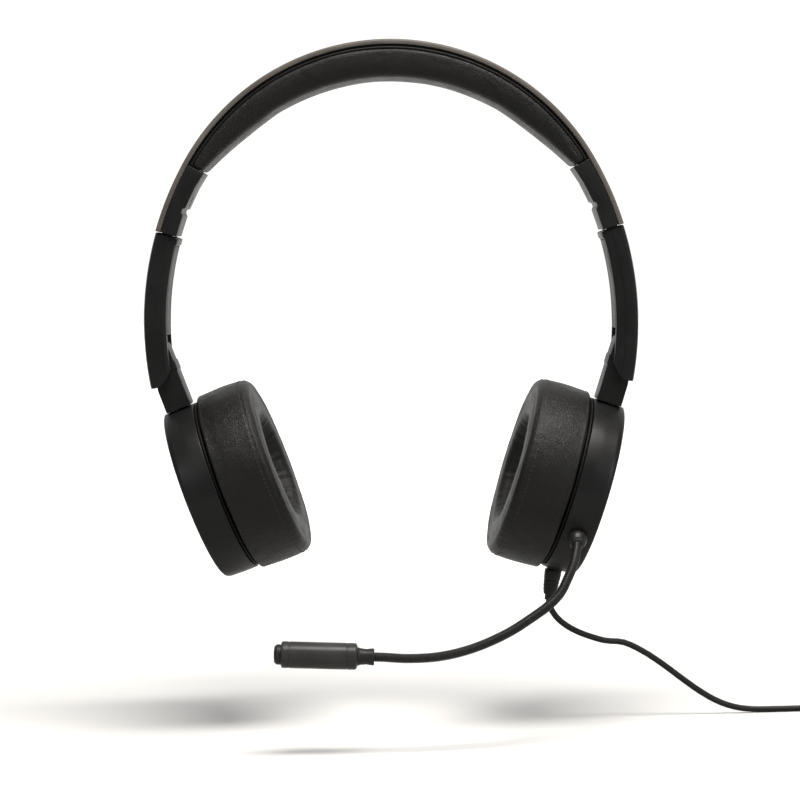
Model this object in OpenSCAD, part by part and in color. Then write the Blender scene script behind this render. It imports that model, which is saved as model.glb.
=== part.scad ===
// On-ear gaming headset: sprung headband, sliding arms, tilting and swivelling cups, boom microphone
// Origin: underside of the headband pad at its centre. +X is the wearer's left, +Y is behind, +Z is up.

/* [Headband] */
// Radius of the band's outer surface
band_r = 85.5; // [84:0.5:88]
// Depth of the band from front to back
band_w = 30; // [28:1:34]
// Thickness of the head pad, with the frame's edge
pad_t = 11.3; // [10.5:0.1:12]

/* [Arms] */
// Depth of an arm from front to back
arm_w = 28; // [27:0.5:30]
// Thickness of an arm
arm_t = 8.6; // [8.2:0.1:9.5]
// Radius of an arm's outer surface
arm_r = 120; // [116:1:126]
// Travel of the size adjustment on each side
slide_travel = 20; // [14:1:20]

/* [Cups] */
// Radius of a cup's shell
cup_r = 32.5; // [32:0.5:34]
// Radius of an ear cushion
cushion_r = 34; // [33:0.5:35]
// Thickness of an ear cushion
cushion_t = 19.7; // [16:0.1:22]
// Radius of the ear opening in a cushion
ear_r = 18; // [17:0.5:19]
// Lean of the left cup at rest, bottom inwards
tilt_left = 17.5; // [16:0.5:20]
// Lean of the right cup at rest, bottom inwards
tilt_right = 20; // [17:0.5:20]
// Turn of both cups about their stems at rest
cup_turn = 3.5; // [0:0.5:5]

/* [Microphone] */
// Radius of the flexible boom
boom_r = 1.75; // [1.5:0.05:2]
// Radius of the microphone's barrel
mic_r = 4.65; // [4:0.05:5]

/* [Cord] */
// Radius of the cord
cord_r = 1.15; // [1:0.05:1.3]

/* [Hidden] */

$fn = 96;

// Band, measured from its own centre
cover_t = 2.1;
skin = 0.02; // keeps neighbouring faces from coinciding
frame_edge_t = 0.7;
cover_in_r = band_r - cover_t;
band_gap = 0.9;
frame_out_r = cover_in_r - band_gap;
pad_out_r = frame_out_r - frame_edge_t;
pad_in_r = pad_out_r - pad_t;
band_z = -pad_in_r;
pad_end = 60.2;
pad_curve_r = 81.5;
channel_floor_r = pad_in_r + 9;
channel_wall = 1.9;
spring_end = 48;
spring_t = 0.8;
spring_w = 18;

// Shoulders and arms: one arc that meets the band at its end. The sliders run along it.
meet = 60;
meet_p = band_point(band_r, meet);
arm_c = [meet_p.x - arm_r * sin(meet), meet_p.y - arm_r * cos(meet)];
seam = 73.2;
housing_start = 60.3;
housing_t = 8.3;
step_start = 67.7;
step_end = 68.6;
floor_r = arm_r - 5.3;
boss_at = 66.2;
detent_at = 63.45;
tongue_w = 16;
tongue_t = 1.1;
tongue_out_r = arm_r - 3.6;
slide_angle = slide_travel / tongue_out_r * 180 / PI;
arm_wall = 1.8;
arm_cover_t = 1.4;
arm_top = 73.4;
arm_tip = 100.8;
knuckle_end = 74.6;
hood_t = 1.2;
fork_w = 19.6;
arm_cover_end_z = -91.2;
pocket_start = 74.9;
pocket_end = 91.8;
fork_start = 90.7;

// Fold pivot, in the plane from front to back
pivot = [85.6, -96.6];
pin_r = 1.5;
pin_l = 26;
run = 0.05;

// Stems and cups, in a cup's own frame: +X away from the head, +Z up the stem
stem_w = 19;
stem_in = 4.55;
stem_out = 4.7;
drop = 54.7;
flat_z = 31.6;
post_r = 3;
shell_half = 6;
shell_wall = 2;
cap_r = 28;
floor_x = 4.1;
floor_t = 1;
flange_t = 1;
ring_t = 0.8;
cushion_back = -shell_half - flange_t - 0.4;
cushion_front = cushion_back - cushion_t;
boss_ring_r = 26;
boss_r = 2.4;
screw_r = 1;
outer_lip = 6;
inner_lip = 5;
speaker_r = 20;

// Boom: where its collar sits on the left cup's rim, and its route
collar_dip = 31;
collar_r = 3.5;
socket_r = 3.3;
jack_r = 1.75;
boom_start = 33.2;
boom_route = [
    [65.5, -29.9, -166.5], [65.1, -33, -168.3], [64.6, -36.2, -170], [63.9, -39.8, -172],
    [62.9, -43.5, -174.4], [61.3, -47.2, -177.4], [58.2, -51.8, -182.6], [54, -55.7, -186.4],
    [49, -59, -189.6], [40.2, -63, -194.6], [31.2, -66, -198.4], [22.4, -68, -201], [13.5, -69.6, -202.4],
    [4, -70.6, -202.6], [-4, -71, -202], [-8.4, -71, -201.8]
];
mic_at = [-7.6, -71, -201.8];
mic_rise = 2.4;
mic_l = 34.8;

// Cord: it lies on the surface 236 below the pad once it has come down from the cup
table_z = -236;
gland_lean = 7.7;
gland_x = -1.4;
gland_z = -31.5;
gland_l = 12.6;
gland_r = 2.6;
gland_flange_r = 3.9;
cord_route = [
    [56.8, 0, -187.4], [56.2, 0, -190.9], [57.2, 0, -194.5], [59.6, 0.4, -198], [63.3, 1, -201],
    [67.4, 2, -203.3], [71.8, 3, -205.1], [77.3, 4, -206.8], [84, 5.5, -207.7], [91, 7, -211.2],
    [98, 8.5, -216], [105, 10, -221.5], [112, 11.5, -226.8], [119, 12.8, -231.1], [126, 13.9, -233.7],
    [133, 14.8, -234.7], [141, 15.5, -234.85], [150, 16, -234.85], [162, 16, -234.7], [172, 16, -234.4],
    [182, 16, -234.15]
];
tail_route = [
    [201, 33, -231.75], [201, 38, -231.7], [201.2, 44, -231.7], [201.6, 51, -231.9], [202, 58, -232],
    [202, 61, -232]
];
coil_at = [182, 35];
coil_in_r = 5.8;
tie_in_r = 4.3;
coil_out_r = 20.2;
coil_z = table_z + 0.7;
coil_h = 4.7;
tie_w = 5;
tie_t = 0.7;
plug_x = 202;
plug_y = 60;
plug_r = 4;
plug_z = table_z + plug_r;

// A point in the plane from front to back, at radius r and angle a from the band's top
function band_point(r, a) = [r * sin(a), band_z + r * cos(a)];
function arc(c, r, a0, a1, n = 24) = [
    for (i = [0:n]) let (a = a0 + (a1 - a0) * i / n) [c.x + r * sin(a), c.y + r * cos(a)]
];
function unit(v) = v / norm(v);
function ring_normal(t) = unit(cross(t, abs(t.y) < 0.9 ? [0, 1, 0] : [1, 0, 0]));
function tangent(p, i) = unit(p[min(i + 1, len(p) - 1)] - p[max(i - 1, 0)]);

// A smooth line through route points, with k steps between two points
function smooth(p, k) = [
    for (i = [0:len(p) - 2], j = [0:k - 1])
        let (a = p[max(i - 1, 0)], b = p[i], c = p[i + 1], d = p[min(i + 2, len(p) - 1)], t = j / k)
            0.5 * (2 * b + (c - a) * t + (2 * a - 5 * b + 4 * c - d) * t * t
                + (3 * b - a - 3 * c + d) * t * t * t),
    p[len(p) - 1]
];

module tube(line, r, sides = 8) {
    tangents = [for (i = [0:len(line) - 1]) tangent(line, i)];
    normals = [
        for (i = 0, n = ring_normal(tangents[0]); i < len(line);
            i = i + 1, n = i < len(line) ? unit(n - (n * tangents[i]) * tangents[i]) : n) n
    ];
    polyhedron(
        points = [
            for (i = [0:len(line) - 1], j = [0:sides - 1])
                let (a = 360 * j / sides, b = cross(tangents[i], normals[i]))
                    line[i] + r * (cos(a) * normals[i] + sin(a) * b)
        ],
        faces = concat(
            [[for (j = [0:sides - 1]) j]],
            [[for (j = [sides - 1:-1:0]) (len(line) - 1) * sides + j]],
            [
                for (i = [0:len(line) - 2], j = [0:sides - 1])
                    let (k = (j + 1) % sides)
                        [i * sides + j, (i + 1) * sides + j, (i + 1) * sides + k, i * sides + k]
            ]
        )
    );
}

// A profile of [radius, depth] swept about the band's centre from angle a0 to a1
module band_arc(a0, a1) translate([0, 0, band_z]) rotate([90, 0, 0]) rotate([0, 0, 90 - a1])
    rotate_extrude(angle = a1 - a0, $fn = 180) children();
// The same about the centre of an arm's arc
module arm_arc(a0, a1) translate([arm_c.x, 0, arm_c.y]) rotate([90, 0, 0]) rotate([0, 0, 90 - a1])
    rotate_extrude(angle = a1 - a0, $fn = 180) children();
module block(r0, r1, w) translate([r0, -w / 2]) square([r1 - r0, w]);
module plate(w) rotate([90, 0, 0]) linear_extrude(w, center = true) children();
module lathe_x() rotate([0, 90, 0]) rotate_extrude() children();
module side(right) mirror([right ? 1 : 0, 0, 0]) children();

// The frame of a stem, whose origin is the fold pivot, and that of a cup, whose origin is its centre
module stem_frame(right) side(right) translate([pivot.x, 0, pivot.y])
    rotate([0, right ? tilt_right : tilt_left, 0]) rotate([0, 0, cup_turn]) children();
module cup_frame(right) stem_frame(right) translate([0, 0, -drop]) children();
// A rod that points outwards from a cup's rim at the boom's collar
module boom_frame() cup_frame(false) rotate([90 + collar_dip, 0, 0]) children();
module gland_place() translate([gland_x, 0, gland_z]) rotate([0, 180 - gland_lean, 0]) children();
module gland_frame() cup_frame(false) gland_place() children();
module mic_frame() translate(mic_at) rotate([0, -90 + mic_rise, 0]) children();

module headband_outer_cover() color([0.17, 0.16, 0.155]) {
    band_arc(-meet, meet) block(cover_in_r, band_r, band_w);
    for (s = [0, 1]) side(s == 1) arm_arc(meet - 1, seam)
        block(arm_r - cover_t + skin, arm_r - skin, band_w - 2 * skin);
}

module spring_band() color([0.3, 0.3, 0.31])
    band_arc(-spring_end, spring_end) block(cover_in_r - spring_t, cover_in_r - skin, spring_w);

module headband_inner_frame() color([0.12, 0.12, 0.12]) band_arc(-pad_end, pad_end) {
    block(channel_floor_r - 1, channel_floor_r, band_w - 2);
    for (s = [-1, 1]) translate([0, s * (band_w / 2 - 1 - channel_wall / 2)])
        block(channel_floor_r - 0.5, cover_in_r - skin, channel_wall);
    for (s = [-1, 1]) translate([0, s * (band_w / 2 - 1)])
        block(pad_out_r, frame_out_r, 2);
}

module headband_pad() color([0.14, 0.14, 0.14]) difference() {
    band_arc(-pad_end, pad_end) block(pad_in_r - 1, channel_floor_r - 1.02, band_w);
    translate([0, 0, -pad_curve_r]) rotate([90, 0, 0]) cylinder(r = pad_curve_r, h = 50, center = true, $fn = 180);
}

// A housing's section: its inner side steps in at the middle
function housing_outline() = concat(
    arc(arm_c, arm_r - cover_t, housing_start, seam, 10),
    arc(arm_c, arm_r - housing_t + 0.2, seam, step_end, 6),
    arc(arm_c, arm_r - housing_t + 1, step_end, step_start, 2),
    arc(arm_c, arm_r - housing_t, step_start, housing_start, 8)
);

module slider_housing(right) color([0.13, 0.13, 0.13]) side(right) difference() {
    plate(band_w - 0.6) polygon(housing_outline());
    difference() {
        plate(tongue_w + 1.2) polygon(arm_strip(floor_r, arm_r, housing_start - 1, seam + 1));
        screw_place() translate([0, 0, -0.5]) cylinder(r = 2, h = 6);
    }
    translate([0, -tongue_w / 2 - 1.5, 0])
        plate(3) polygon(arm_strip(floor_r - 0.1, arm_r, detent_at - 2.3, detent_at + 2.2));
    screw_place() translate([0, 0, -4]) cylinder(r = 1.9, h = 2.5);
    screw_place() translate([0, 0, -2]) cylinder(r = 0.8, h = 5.1);
}

// The housing's screw, its axis pointing out of the band, from the floor of the slide
module screw_place() translate([arm_c.x, 0, arm_c.y]) rotate([0, boss_at, 0]) translate([0, 0, floor_r]) children();

module housing_screws() color("dimgray") for (s = [0, 1]) side(s == 1) screw_place() {
    difference() {
        translate([0, 0, -2.9]) cylinder(r = 1.75, h = 1.35);
        for (a = [0, 90]) rotate([0, 0, a]) translate([-1, -0.2, -3.4]) cube([2, 0.4, 1]);
    }
    translate([0, 0, -1.6]) cylinder(r = 0.78, h = 4.5);
}

module detent_springs() color("silver") for (s = [0, 1]) side(s == 1)
    for (part = [[-1.95, -0.55, 0.9], [-0.55, 0.55, 0.35], [0.55, 1.85, 0.9]])
        arm_arc(detent_at + part[0], detent_at + part[1])
            translate([0, tongue_w / 2 + part[2] + 0.25]) block(floor_r + 0.3, floor_r + 2.3, 0.5);

module headband_lead() color([0.1, 0.1, 0.1]) band_arc(-60, 60)
    translate([channel_floor_r + 1.2, -10.9]) circle(r = 0.75, $fn = 24);

// Outline of an arm, from front to back
function arm_outline() = concat(
    arc(arm_c, arm_r, arm_top, arm_tip),
    [[84.6, -109.9], [82.8, -108.1], [81.1, -105.8], [80.6, -104.2]],
    arc(arm_c, arm_r - arm_t, 98.1, knuckle_end),
    arc(arm_c, arm_r - arm_t - 0.3, knuckle_end, arm_top, 2)
);
function arm_strip(r0, r1, a0, a1) = concat(arc(arm_c, r1, a0, a1), arc(arm_c, r0, a1, a0));

module arm_shell(right) color([0.14, 0.14, 0.14]) side(right) difference() {
    plate(arm_w) polygon(arm_outline());
    plate(arm_w - 2 * arm_wall) polygon(arm_strip(arm_r - arm_t - 3, arm_r - arm_wall, pocket_start, pocket_end));
    plate(fork_w) polygon(arm_strip(arm_r - arm_t - 6, arm_r - hood_t, fork_start, arm_tip + 2.6));
    arm_arc(arm_top - 3, pocket_start + 3)
        block(tongue_out_r - tongue_t - 0.02, tongue_out_r + 0.02, tongue_w + 0.04);
    translate([pivot.x, 0, pivot.y]) rotate([90, 0, 0]) cylinder(r = pin_r, h = pin_l, center = true);
}

module arm_cover(right) color([0.19, 0.19, 0.19]) side(right) plate(arm_w - 2 * arm_wall - 0.2)
    intersection() {
        polygon(arm_strip(arm_r - arm_t, arm_r - arm_t + arm_cover_t, pocket_start + 0.1, pocket_end + 0.2));
        translate([0, arm_cover_end_z]) square([120, 60]);
    }

module slider_tongue(right) color("silver") side(right) difference() {
    arm_arc(boss_at - slide_angle - 3.9, 83) block(tongue_out_r - tongue_t, tongue_out_r, tongue_w);
    arm_arc(boss_at - slide_angle - 1.6, boss_at + 1.6) block(tongue_out_r - 3, tongue_out_r + 1, 5.2);
    for (i = [0:6]) arm_arc(detent_at - i * slide_angle / 6 - 0.25, detent_at - i * slide_angle / 6 + 0.25)
        translate([0, tongue_w / 2]) block(tongue_out_r - 3, tongue_out_r + 1, 1);
}

module fold_pin(right) color("silver") side(right)
    translate([pivot.x, 0, pivot.y]) rotate([90, 0, 0]) cylinder(r = pin_r, h = pin_l, center = true);

module stem(right) color([0.13, 0.13, 0.13]) stem_frame(right) difference() {
    intersection() {
        rotate([0, 0, -cup_turn]) plate(stem_w) union() {
            circle(r = 2.75);
            intersection() {
                circle(r = stem_in);
                polygon([[0, 0], [-8, -3], [-8, 8], [-3.2, 8]]);
            }
            polygon([
                [0, 2.7], [-stem_in, 0], [-stem_in, -5.3], [-stem_in - 0.3, -5.9], [-stem_in - 0.3, -9],
                [-stem_in, -9.6], [-stem_in, -drop + flat_z + 0.3], [stem_out, -drop + flat_z + 0.3],
                [stem_out, -14], [2.65, -0.8]
            ]);
        }
        translate([0, 0, -30]) linear_extrude(40) round_block(-stem_in - 0.6, stem_out, stem_w + 1.2, 2.6);
    }
    rotate([0, 0, -cup_turn]) rotate([90, 0, 0]) cylinder(r = pin_r + run, h = 30, center = true);
    translate([0, 0, -drop + flat_z]) cylinder(r = post_r, h = 7);
}

module round_block(x0, x1, w, r) {
    translate([x0 + r, -w / 2]) square([x1 - x0 - 2 * r, w]);
    translate([x0, -w / 2 + r]) square([x1 - x0, w - 2 * r]);
    for (x = [x0 + r, x1 - r], s = [-1, 1]) translate([x, s * (w / 2 - r)]) circle(r = r);
}

module swivel_post(right) color("silver") cup_frame(right) difference() {
    translate([0, 0, 24.4]) cylinder(r = post_r, h = flat_z + 7 - 24.4);
    translate([0, 0, 25.6]) difference() {
        cylinder(r = post_r + 1, h = 0.8);
        cylinder(r = 2.3, h = 0.8);
    }
}

module swivel_clip(right) color("silver") cup_frame(right) translate([0, 0, 25.65]) difference() {
    cylinder(r = 3.8, h = 0.7);
    cylinder(r = 2.3, h = 2, center = true);
    translate([-1, 0, -1]) cube([2, 5, 3]);
}

function shell_profile() = concat(
    [[0, floor_x], [cup_r - shell_wall, floor_x], [cup_r - shell_wall, -shell_half], [cup_r, -shell_half]],
    [for (a = [0:15:90]) [cup_r - 2 + 2 * cos(a), shell_half - 2 + 2 * sin(a)]],
    [[cap_r + 0.15, shell_half], [cap_r + 0.15, floor_x + floor_t], [0, floor_x + floor_t]]
);

module cup_shell(right) color([0.15, 0.15, 0.155]) cup_frame(right) difference() {
    union() {
        lathe_x() polygon(shell_profile());
        translate([-4.2, -6, 27.2]) cube([floor_x + 4.3, 12, 4.4]);
        for (a = [45:90:315]) rotate([a, 0, 0]) translate([-4.4, 0, boss_ring_r]) rotate([0, 90, 0])
            cylinder(r = boss_r, h = floor_x + 4.5);
    }
    translate([-20, -20, flat_z]) cube(40);
    translate([0, 0, 20]) cylinder(r = post_r + run, h = 20);
    for (a = [45:90:315]) rotate([a, 0, 0]) translate([-5, 0, boss_ring_r]) rotate([0, 90, 0])
        cylinder(r = screw_r + run, h = 7);
    if (!right) {
        rotate([90 + collar_dip, 0, 0]) cylinder(r = socket_r, h = 50);
        gland_place() cylinder(r = gland_r, h = 12, center = true);
    }
}

module cup_cap(right) color([0.17, 0.17, 0.175]) cup_frame(right) lathe_x() polygon([
    [0, floor_x + floor_t], [cap_r, floor_x + floor_t], [cap_r, shell_half - 0.2], [cap_r - 0.5, shell_half + 0.2],
    [cap_r - 8, shell_half + 0.7], [0, shell_half + 1]
]);

module baffle(right) color([0.1, 0.1, 0.1]) cup_frame(right) difference() {
    lathe_x() polygon([
        [speaker_r - 2, -shell_half - flange_t], [cup_r - 0.5, -shell_half - flange_t],
        [cup_r - 0.5, -shell_half], [cup_r - shell_wall - 0.1, -shell_half], [cup_r - shell_wall - 0.1, -4.6],
        [speaker_r + 0.1, -4.6], [speaker_r + 0.1, -shell_half], [speaker_r - 2, -shell_half]
    ]);
    translate([-20, -20, flat_z - 0.1]) cube(40);
    for (a = [45:90:315]) rotate([a, 0, 0]) translate([-8, 0, boss_ring_r]) rotate([0, 90, 0])
        cylinder(r = 1.25, h = 7);
    if (!right) gland_place() translate([0, 0, -4]) cylinder(r = gland_flange_r + 0.2, h = 2.6);
}

module speaker_frame(right) color([0.35, 0.35, 0.36]) cup_frame(right) lathe_x() polygon([
    [speaker_r - 2.5, -5.95], [speaker_r, -5.95], [speaker_r, -4.6], [speaker_r - 3, -3.6], [14.5, -1],
    [10.2, -1], [10.2, -1.8], [14, -1.8], [speaker_r - 3.6, -4.8]
]);

module speaker_magnet(right) color("gray") cup_frame(right) lathe_x() polygon([
    [0, -3.4], [8, -3.4], [8, -1.7], [10.2, -1.7], [10.2, 2.4], [9.6, 3], [0, 3]
]);

module speaker_diaphragm(right) color([0.55, 0.5, 0.4]) cup_frame(right) lathe_x() polygon([
    [0, -5.1], [5, -4.9], [8.2, -4.2], [9, -4.7], [13, -5.4], [speaker_r - 3.25, -5.2],
    [speaker_r - 3.25, -5.6], [13, -5.8], [8.8, -5.1], [8.2, -4.6], [5, -5.3], [0, -5.5]
]);

module ear_grille(right) color([0.08, 0.08, 0.08]) cup_frame(right) lathe_x() polygon([
    [0, -shell_half - flange_t - 0.5], [ear_r + 1.5, -shell_half - flange_t - 0.5],
    [ear_r + 1.5, -shell_half - flange_t], [0, -shell_half - flange_t]
]);

module cushion_ring(right) color([0.09, 0.09, 0.09]) cup_frame(right) lathe_x() polygon([
    [ear_r + 2, -shell_half - flange_t - ring_t], [cup_r - 3, -shell_half - flange_t - ring_t],
    [cup_r - 3, -shell_half - flange_t], [ear_r + 2, -shell_half - flange_t]
]);

module ear_cushion(right) color([0.13, 0.13, 0.13]) cup_frame(right) lathe_x() polygon(concat(
    [[cup_r - 2.9, cushion_back + 0.1], [cushion_r - 1.5, cushion_back + 0.1], [cushion_r, cushion_back - 2]],
    [
        for (a = [0:15:90])
            [cushion_r - outer_lip + outer_lip * cos(a), cushion_front + outer_lip - outer_lip * sin(a)]
    ],
    [
        for (a = [90:15:180])
            [ear_r + inner_lip + inner_lip * cos(a), cushion_front + inner_lip - inner_lip * sin(a)]
    ],
    [[ear_r, cushion_back - ring_t], [cup_r - 2.9, cushion_back - ring_t]]
));

module cup_screws(right) color("dimgray") cup_frame(right) for (a = [45:90:315]) rotate([a, 0, 0])
    translate([-7, 0, boss_ring_r]) rotate([0, 90, 0]) cylinder(r = screw_r, h = 8);

module circuit_board() color("darkgreen") cup_frame(false) {
    translate([-0.6, -8, -27.5]) cube([1, 16, 11.5]);
    for (y = [-5, 0, 5]) translate([0.4, y - 1.2, -25]) cube([1.2, 2.4, 3.5]);
}

module mic_socket() color([0.2, 0.2, 0.2]) boom_frame() difference() {
    translate([0, 0, 22.5]) cylinder(r = socket_r - 0.02, h = cup_r - 22.5);
    translate([0, 0, 21]) cylinder(r = jack_r + run, h = 20);
}

module strain_relief() color([0.1, 0.1, 0.1]) gland_frame() difference() {
    union() {
        translate([0, 0, -3.5]) cylinder(r = gland_r - 0.02, h = 8);
        translate([0, 0, -3.5]) cylinder(r = gland_flange_r, h = 1.3);
        rotate_extrude() polygon([
            [0, 1.4], [3.15, 1.4], [3, 4.5], [2.45, 10], [2.2, 10.6], [1.7, 10.8], [1.55, gland_l], [0, gland_l]
        ]);
    }
    translate([0, 0, -5]) cylinder(r = cord_r, h = 30);
}

module boom_plug() color("silver") boom_frame() {
    translate([0, 0, 24]) cylinder(r = jack_r, h = boom_start - 24);
    translate([0, 0, 23]) cylinder(r1 = 0.9, r2 = jack_r, h = 1);
}

module boom_collar() color([0.12, 0.12, 0.12]) boom_frame() rotate_extrude() polygon(concat(
    [[0, boom_start], [collar_r, boom_start]],
    [for (a = [0:15:60]) [boom_r + 0.2 + (collar_r - boom_r - 0.2) * cos(a), boom_start + 1 + 2.6 * sin(a)]],
    [[boom_r + 0.2, boom_start + 4.4], [0, boom_start + 4.4]]
));

module gooseneck() color([0.12, 0.12, 0.12]) difference() {
    tube(smooth(boom_route, 3), boom_r, 12);
    boom_frame() cylinder(r = 6, h = boom_start + 4.4);
}

module mic_neck() color([0.12, 0.12, 0.12]) mic_frame() rotate_extrude() polygon([
    [boom_r + 0.05, 0], [2.9, 0], [3, 0.5], [2.75, 2.7], [mic_r - 1.6, 5.8], [0, 5.8], [0, 1.6], [boom_r + 0.05, 1.6]
]);

module mic_barrel() color([0.27, 0.26, 0.25]) mic_frame() rotate_extrude() polygon([
    [0, 5.8], [mic_r - 0.4, 5.8], [mic_r, 6.3], [mic_r, mic_l - 3], [mic_r - 0.4, mic_l - 2.6],
    [3.2, mic_l - 2.6], [3.2, mic_l - 12], [0, mic_l - 12]
]);

module mic_capsule() color("silver") mic_frame() translate([0, 0, mic_l - 9]) cylinder(r = 3, h = 4);

module mic_end_cap() color([0.1, 0.1, 0.1]) mic_frame() rotate_extrude() polygon([
    [0, mic_l - 4.6], [3.15, mic_l - 4.6], [3.15, mic_l - 2.6], [3.55, mic_l - 2.6], [3.55, mic_l - 1],
    [3, mic_l - 0.3], [1.8, mic_l], [0, mic_l]
]);

module cord_lead() color([0.1, 0.1, 0.1]) {
    tube(smooth(cord_route, 3), cord_r);
    tube(smooth(tail_route, 2), cord_r);
}

module cord_coil() color([0.1, 0.1, 0.1]) translate([coil_at.x, coil_at.y, coil_z]) rotate_extrude()
    translate([coil_in_r, 0]) square([coil_out_r - coil_in_r, coil_h]);

module cord_tie() color([0.2, 0.2, 0.2]) translate([coil_at.x, coil_at.y, coil_z]) difference() {
    translate([-tie_w / 2, tie_in_r, -tie_t]) cube([tie_w, coil_out_r + tie_t + 0.05 - tie_in_r, coil_h + 2 * tie_t]);
    translate([-tie_w, tie_in_r + tie_t, -0.05])
        cube([2 * tie_w, coil_out_r + 0.05 - tie_in_r - tie_t, coil_h + 0.1]);
}

module plug_frame() translate([plug_x, plug_y, plug_z]) rotate([-90, 0, 0]) children();

module plug_boot() color([0.1, 0.1, 0.1]) plug_frame() difference() {
    rotate_extrude() polygon([[0, 0], [1.7, 0], [1.9, 0.4], [2.6, 7.6], [2.6, 8], [0, 8]]);
    translate([0, 0, -1]) cylinder(r = cord_r, h = 3);
}

module plug_body() color([0.12, 0.12, 0.12]) plug_frame() rotate_extrude() polygon([
    [0, 8], [3, 8], [plug_r - 0.3, 9], [plug_r, 10], [plug_r, 25], [plug_r - 0.6, 26], [0, 26]
]);

module plug_pin() color("gold") plug_frame() rotate_extrude() polygon([
    [0, 26], [2.4, 26], [2.4, 26.8], [jack_r, 26.8], [jack_r, 37.6], [1.15, 38.3], [1.5, 39.2], [1.5, 39.6],
    [0.5, 40.8], [0, 40.8]
]);

headband_outer_cover();
spring_band();
headband_inner_frame();
headband_pad();
slider_housing(false);  // slider_housing_left
slider_housing(true);  // slider_housing_right
housing_screws();
detent_springs();
headband_lead();
arm_shell(false);  // arm_shell_left
arm_cover(false);  // arm_cover_left
slider_tongue(false);  // slider_tongue_left
fold_pin(false);  // fold_pin_left
arm_shell(true);  // arm_shell_right
arm_cover(true);  // arm_cover_right
slider_tongue(true);  // slider_tongue_right
fold_pin(true);  // fold_pin_right
stem(false);  // stem_left
swivel_post(false);  // swivel_post_left
swivel_clip(false);  // swivel_clip_left
stem(true);  // stem_right
swivel_post(true);  // swivel_post_right
swivel_clip(true);  // swivel_clip_right
cup_shell(false);  // cup_shell_left
cup_cap(false);  // cup_cap_left
baffle(false);  // baffle_left
speaker_frame(false);  // speaker_frame_left
speaker_magnet(false);  // speaker_magnet_left
speaker_diaphragm(false);  // speaker_diaphragm_left
ear_grille(false);  // ear_grille_left
cushion_ring(false);  // cushion_ring_left
ear_cushion(false);  // ear_cushion_left
cup_screws(false);  // cup_screws_left
circuit_board();
mic_socket();
strain_relief();
cup_shell(true);  // cup_shell_right
cup_cap(true);  // cup_cap_right
baffle(true);  // baffle_right
speaker_frame(true);  // speaker_frame_right
speaker_magnet(true);  // speaker_magnet_right
speaker_diaphragm(true);  // speaker_diaphragm_right
ear_grille(true);  // ear_grille_right
cushion_ring(true);  // cushion_ring_right
ear_cushion(true);  // ear_cushion_right
cup_screws(true);  // cup_screws_right
boom_plug();
boom_collar();
gooseneck();
mic_neck();
mic_barrel();
mic_capsule();
mic_end_cap();
cord_lead();
cord_coil();
cord_tie();
plug_boot();
plug_body();
plug_pin();
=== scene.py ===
import math

import bmesh
import bpy
import numpy as np
from mathutils import Matrix, Vector, noise
from mathutils.bvhtree import BVHTree


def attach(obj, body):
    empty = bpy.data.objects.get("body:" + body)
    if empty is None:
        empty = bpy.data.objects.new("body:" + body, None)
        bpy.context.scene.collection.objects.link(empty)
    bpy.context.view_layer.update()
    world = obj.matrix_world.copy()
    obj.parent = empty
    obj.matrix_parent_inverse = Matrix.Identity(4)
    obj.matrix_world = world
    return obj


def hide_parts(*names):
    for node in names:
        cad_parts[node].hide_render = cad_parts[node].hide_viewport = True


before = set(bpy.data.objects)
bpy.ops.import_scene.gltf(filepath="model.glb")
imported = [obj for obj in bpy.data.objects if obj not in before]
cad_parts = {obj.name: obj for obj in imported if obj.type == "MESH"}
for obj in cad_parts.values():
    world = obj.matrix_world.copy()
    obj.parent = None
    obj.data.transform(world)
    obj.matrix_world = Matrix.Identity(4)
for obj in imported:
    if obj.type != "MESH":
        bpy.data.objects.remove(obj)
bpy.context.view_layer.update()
MM = 0.001

# ---------------------------------------------------------------- driving sizes, in millimetres
BAND_R = 85.5
COVER_T = 2.1
COVER_IN = BAND_R - COVER_T
FRAME_OUT = 82.5
FRAME_EDGE = 81.8
PAD_IN = 70.5
BAND_Z = -PAD_IN
CHANNEL = 79.5
PAD_END = 60.2
MEET = 60.0
SEAM = 73.2
ARM_TOP = 73.4
ARM_R = 120.0
ARM_IN = ARM_R - 8.6
SCREW_AT = 66.2
PIVOT = (85.6, -96.6)
DROP = 54.7
FLAT_Z = 31.6
TILT = {"left": 17.5, "right": 20.0}
TURN = 3.5
CUP_R = 32.5
CUSHION_BACK = -7.4
CUSHION_FRONT = -27.1
SEAM_X = -24.6
SEAM_R = 33.1
COLLAR_DIP = 31.0
GLAND_AT = (-1.4, -31.5)
GLAND_LEAN = 7.7
BOOM_R = 1.72
MIC_AT = (-7.6, -71.0, -201.8)
MIC_RISE = 2.4
MIC_R = 4.65
MIC_L = 34.8
TABLE_Z = -236.0
CORD_R = 1.15
COIL_AT = (182.0, 35.0)
COIL_R_IN, COIL_R_OUT = 7.0, 19.0
COIL_TURNS = 6
COIL_LAYERS = (-234.15, -231.75)
PLUG_AT = (202.0, 60.0, -232.0)
SIDES = ("left", "right")


def circle_point(centre, r, angle):
    """A point in the plane from front to back, its angle measured from the top towards +X."""
    a = math.radians(angle)
    return (centre[0] + r * math.sin(a), centre[1] + r * math.cos(a))


BAND_C = (0.0, BAND_Z)
MEET_P = circle_point(BAND_C, BAND_R, MEET)
ARM_C = circle_point(MEET_P, -ARM_R, MEET)


# ---------------------------------------------------------------- camera, world, lights and floor
def add_camera():
    data = bpy.data.cameras.new("camera")
    data.lens, data.sensor_width = 145.7, 36.0
    data.clip_start, data.clip_end = 0.05, 20.0
    camera = bpy.data.objects.new("camera", data)
    bpy.context.collection.objects.link(camera)
    pitch, roll = math.radians(90 - 2.81), math.radians(-0.93)
    camera.matrix_world = (
        Matrix.Translation((0.00275, -1.186, -0.0582))
        @ Matrix.Rotation(pitch, 4, "X")
        @ Matrix.Rotation(roll, 4, "Z")
    )
    bpy.context.scene.camera = camera


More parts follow.
